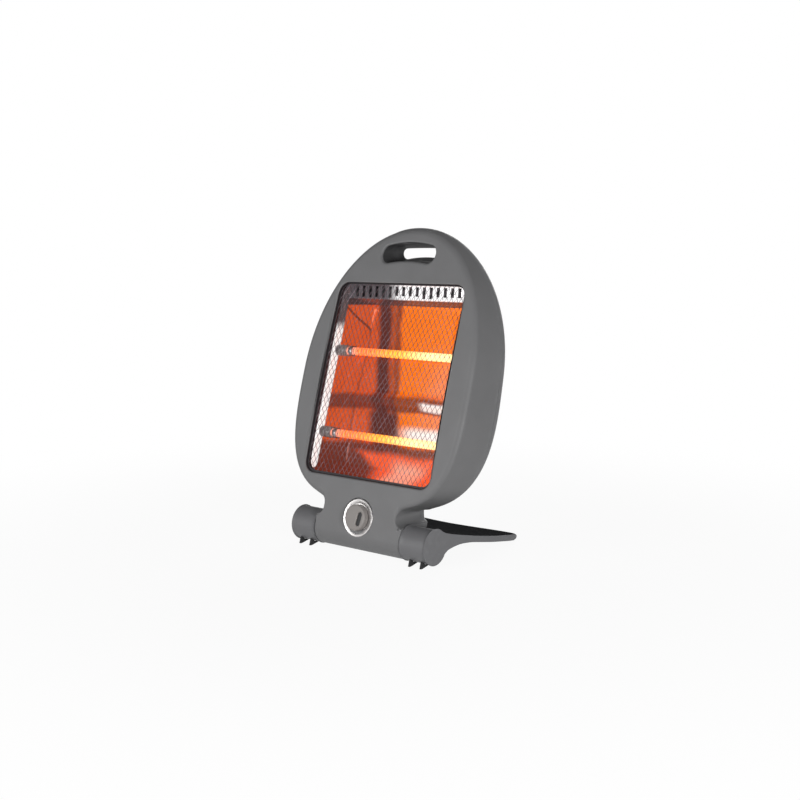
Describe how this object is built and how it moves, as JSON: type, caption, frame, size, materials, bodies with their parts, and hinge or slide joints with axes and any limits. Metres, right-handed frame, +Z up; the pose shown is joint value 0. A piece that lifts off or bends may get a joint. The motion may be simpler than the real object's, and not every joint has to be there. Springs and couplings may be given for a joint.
{
  "type": "halogen heater",
  "caption": "Portable radiant heater: egg-shaped tilting head, glowing quartz tubes and polished reflector behind a wire guard, rotary selector, low foot plate.",
  "frame": {"origin": "on the floor under the middle of the heater's footprint box", "axes": "+Z up, +X to the viewer's right as they face the guard, +Y from the front to the back"},
  "size_m": [0.27, 0.2, 0.3842],
  "materials": {
    "shell_grey": "satin",
    "foot_grey": "satin",
    "black_rubber": "matte",
    "zinc_steel": "bright zinc",
    "guard_chrome": "bright wire",
    "polished_reflector": "polished",
    "quartz": "clear, lit orange",
    "hot_filament": "glowing",
    "ceramic": "glazed off-white",
    "dial_silver": "silver",
    "knob_grey": "satin",
    "black_plastic": "matte",
    "lead_insulation": "matte"
  },
  "bodies": {
    "base": {"foot": "foot_grey", "knuckle_cap_left": "foot_grey", "knuckle_cap_right": "foot_grey", "hinge_bolt_left": "zinc_steel", "hinge_bolt_right": "zinc_steel", "hinge_nut_left": "zinc_steel", "hinge_nut_right": "zinc_steel", "friction_washer_left": "zinc_steel", "friction_washer_right": "zinc_steel", "rear_pad_left": "black_rubber", "rear_pad_right": "black_rubber", "grip_tooth_left_outer": "black_rubber", "grip_tooth_left_inner": "black_rubber", "grip_tooth_right_outer": "black_rubber", "grip_tooth_right_inner": "black_rubber"},
    "head": {"front_shell": "shell_grey", "rear_shell": "shell_grey", "grille": "guard_chrome", "reflector_tray": "polished_reflector", "reflector_ridge": "polished_reflector", "heat_shield": "zinc_steel", "thermal_cutout": "black_plastic", "tube_bracket_left": "zinc_steel", "tube_bracket_right": "zinc_steel", "quartz_tube_upper": "quartz", "quartz_tube_lower": "quartz", "heating_coil_upper": "hot_filament", "heating_coil_lower": "hot_filament", "ceramic_cap_upper_left": "ceramic", "ceramic_cap_upper_right": "ceramic", "ceramic_cap_lower_left": "ceramic", "ceramic_cap_lower_right": "ceramic", "tray_screw_upper_left": "zinc_steel", "tray_screw_upper_right": "zinc_steel", "tray_screw_lower_left": "zinc_steel", "tray_screw_lower_right": "zinc_steel", "shell_screw_upper_left": "zinc_steel", "shell_screw_upper_right": "zinc_steel", "shell_screw_middle_left": "zinc_steel", "shell_screw_middle_right": "zinc_steel", "shell_screw_lower_left": "zinc_steel", "shell_screw_lower_right": "zinc_steel", "dial_ring": "dial_silver", "rotary_switch": "black_plastic", "switch_nut": "zinc_steel", "terminal_block": "black_plastic", "tilt_switch_case": "black_plastic", "tilt_switch_pin": "zinc_steel", "cord_gland": "black_rubber", "lead_supply": "lead_insulation", "lead_upper_tube": "lead_insulation", "lead_lower_tube": "lead_insulation"},
    "selector": {"knob": "knob_grey", "switch_shaft": "zinc_steel"},
    "tip_over_pendulum": {"tilt_switch_pendulum": "zinc_steel"}
  },
  "joints": [
    {"name": "head_tilt", "type": "hinge", "parent": "base", "child": "head", "pos_m": [0, -0.07296, 0.02325], "axis": [1, 0, 0], "range_deg": [-25, 15]},
    {"name": "knob_turn", "type": "hinge", "parent": "head", "child": "selector", "pos_m": [0, -0.08855, 0.04545], "axis": [0, -0.9757, 0.219], "range_deg": [0, 120]},
    {"name": "pendulum_swing", "type": "hinge", "parent": "head", "child": "tip_over_pendulum", "pos_m": [-0.04, -0.07296, 0.02832], "axis": [1, 0, 0], "range_deg": [-17, 17]}
  ]
}
